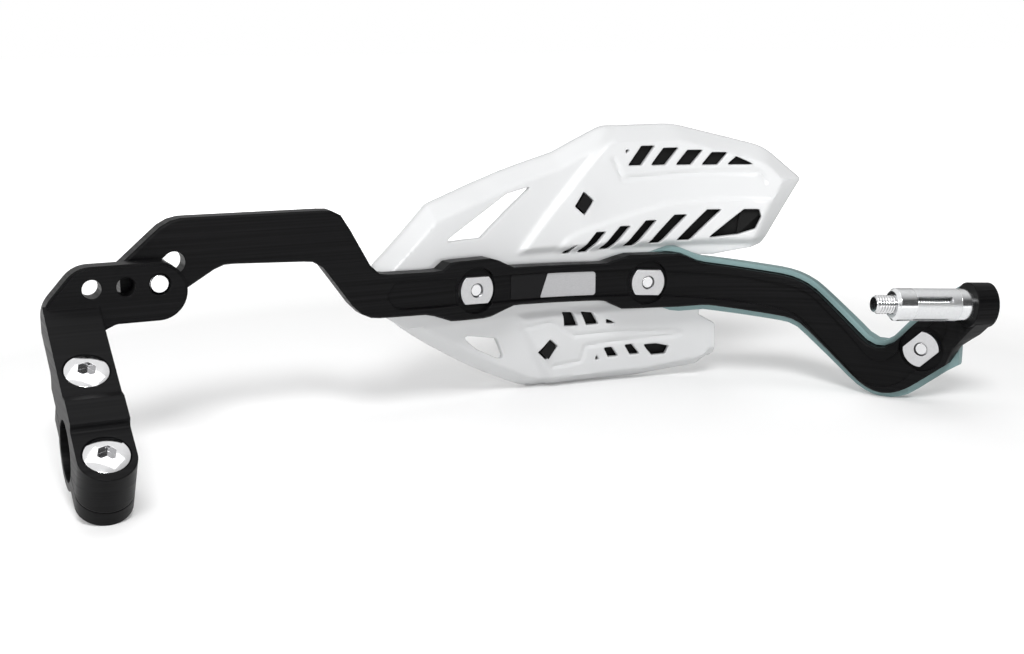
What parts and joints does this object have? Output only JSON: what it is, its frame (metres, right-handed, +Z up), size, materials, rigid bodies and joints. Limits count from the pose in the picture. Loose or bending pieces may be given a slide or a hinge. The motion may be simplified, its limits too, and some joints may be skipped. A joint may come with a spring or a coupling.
{
  "type": "motorcycle hand guard",
  "caption": "Motorcycle hand guard: a bent alloy bar with a handlebar clamp, a bar-end expander, a vented white shield and an abrasion strip.",
  "frame": {"origin": "centre of the handlebar clamp's bore, in the middle of the clamp's width", "axes": "+X along the clamp's bore towards the handlebar's end, +Y forwards away from the rider, +Z up"},
  "size_m": [0.3865, 0.1383, 0.1217],
  "materials": {
    "black_alloy": "black anodised, satin",
    "bright_steel": "bright plated",
    "satin_steel": "satin plated",
    "bright_alloy": "machined",
    "label_film": "printed film, left blank",
    "grey_plastic": "moulded, satin",
    "white_plastic": "moulded, semi-gloss",
    "black_plastic": "moulded, matte"
  },
  "bodies": {
    "root": {"clamp_arm": "black_alloy", "clamp_cap": "black_alloy", "clamp_bolt_front": "bright_steel", "clamp_bolt_rear": "bright_steel", "joint_screw": "bright_steel", "joint_washer": "bright_steel", "guard_bar": "black_alloy", "nut_plate_inner": "satin_steel", "nut_plate_middle": "satin_steel", "nut_plate_outer": "satin_steel", "shield_screw_inner": "bright_steel", "shield_screw_middle": "bright_steel", "strip_screw_outer": "bright_steel", "label": "label_film", "abrasion_strip": "grey_plastic", "expander_bolt": "bright_steel", "expander_collar": "bright_alloy", "expander_sleeve": "bright_alloy", "expander_cone_nut": "bright_alloy", "shield": "white_plastic", "vent_cover_upper": "black_plastic", "vent_cover_lower": "black_plastic"}
  },
  "joints": []
}
